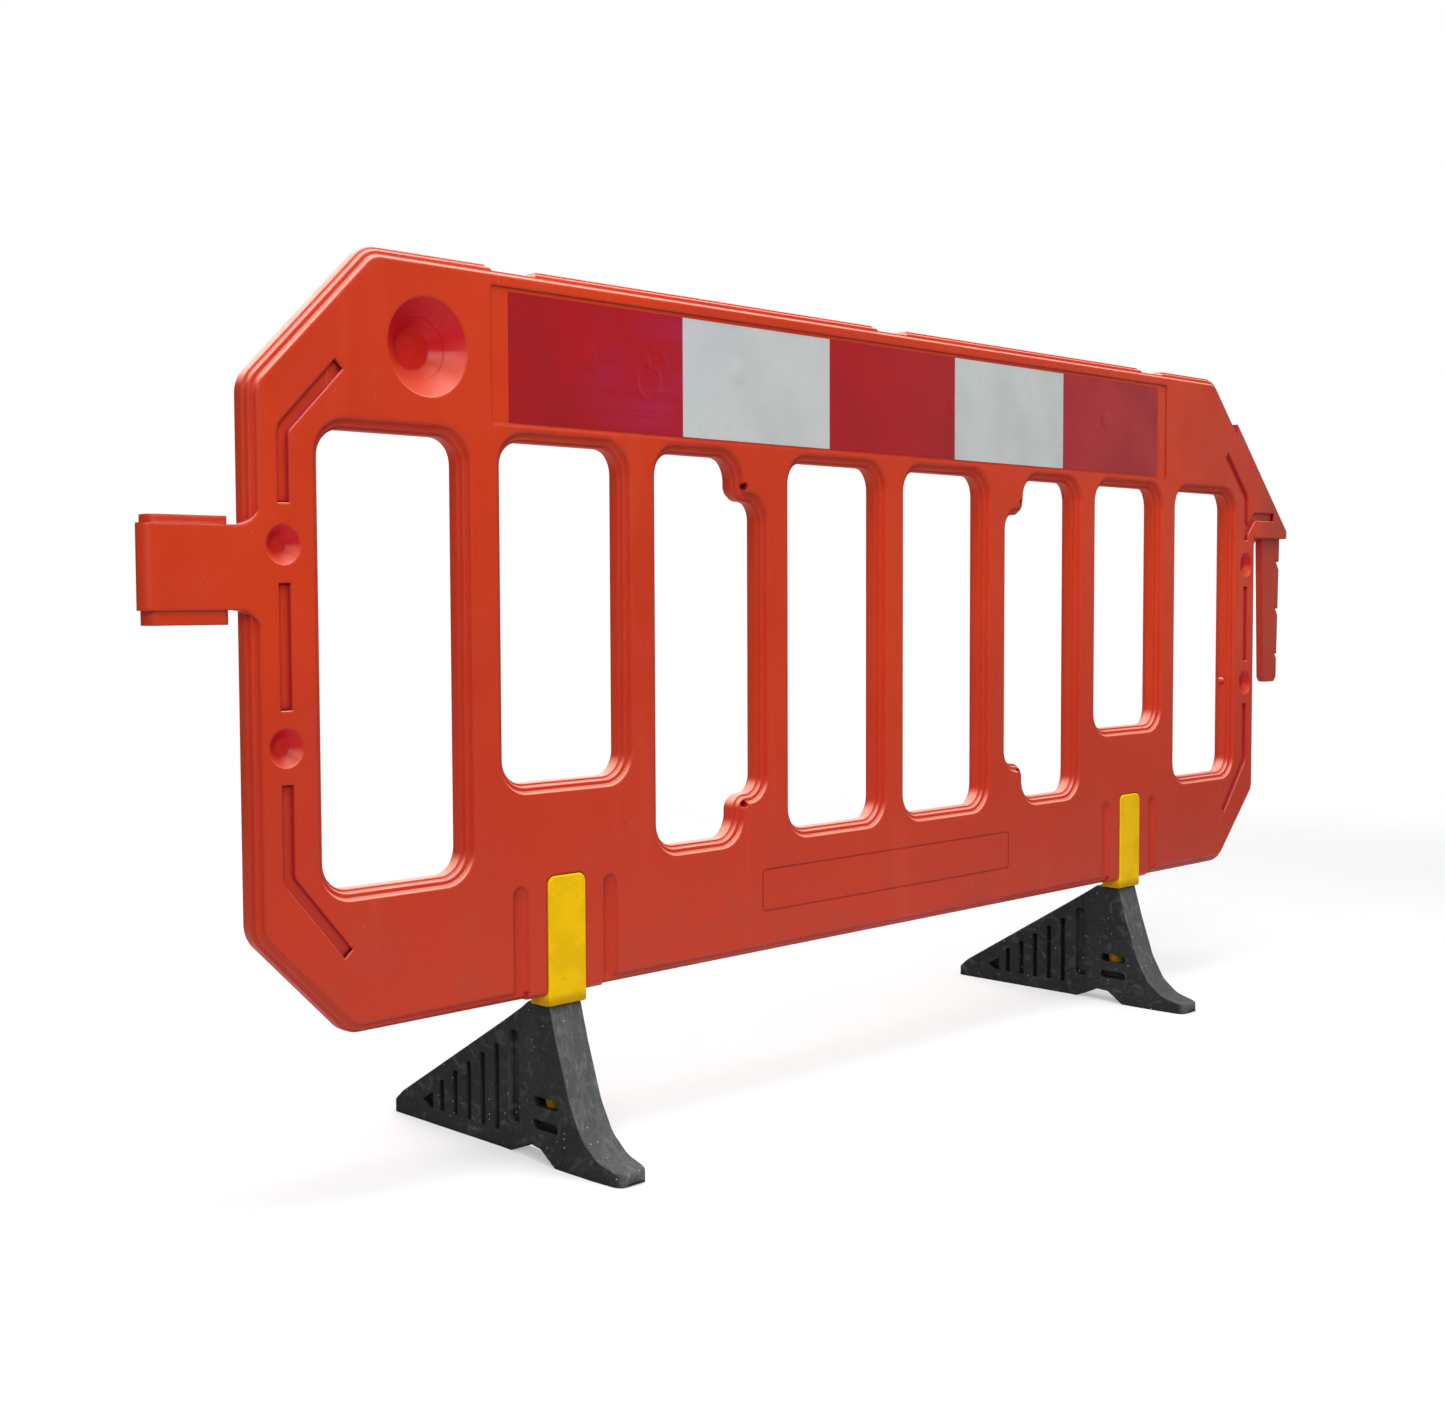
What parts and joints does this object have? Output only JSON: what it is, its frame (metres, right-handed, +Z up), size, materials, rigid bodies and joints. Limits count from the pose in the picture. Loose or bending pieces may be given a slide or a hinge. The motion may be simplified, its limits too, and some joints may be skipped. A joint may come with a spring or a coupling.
{
  "type": "crowd control barrier",
  "caption": "Plastic pedestrian barrier panel with openings, reflective band, hook and loop for linking, on swivelling rubber feet held by yellow saddles.",
  "frame": {"origin": "middle of the barrier's bounding box in plan, on the ground under the feet", "axes": "+X along the panel from the loop end to the hook end, +Y from the front face (toe side of the feet) to the back (gusset side), +Z up"},
  "size_m": [2.2, 0.432, 1],
  "materials": {
    "orange_plastic": "satin, fine moulded grain",
    "red_film": "retroreflective film, slightly blistered",
    "white_film": "retroreflective film, slightly blistered",
    "yellow_plastic": "satin",
    "recycled_rubber": "matt crumb rubber with pale specks and dusty scuffs"
  },
  "bodies": {
    "panel": {"barrier_panel": "orange_plastic", "blow_hole_plug": "orange_plastic", "foot_bracket_left": "yellow_plastic", "foot_bracket_right": "yellow_plastic", "front_film_red_left": "red_film", "front_film_white_left": "white_film", "front_film_red_middle": "red_film", "front_film_white_right": "white_film", "front_film_red_right": "red_film", "back_film_red_left": "red_film", "back_film_white_left": "white_film", "back_film_red_middle": "red_film", "back_film_white_right": "white_film", "back_film_red_right": "red_film"},
    "left_foot": {"rubber_foot_left": "recycled_rubber"},
    "right_foot": {"rubber_foot_right": "recycled_rubber"}
  },
  "joints": [
    {"name": "left_foot_swivel", "type": "hinge", "parent": "panel", "child": "left_foot", "pos_m": [-0.586, -0.083, 0.1], "axis": [0, 0, 1], "range_deg": [-90, 90]},
    {"name": "right_foot_swivel", "type": "hinge", "parent": "panel", "child": "right_foot", "pos_m": [0.594, -0.083, 0.1], "axis": [0, 0, 1], "range_deg": [-90, 90]}
  ]
}
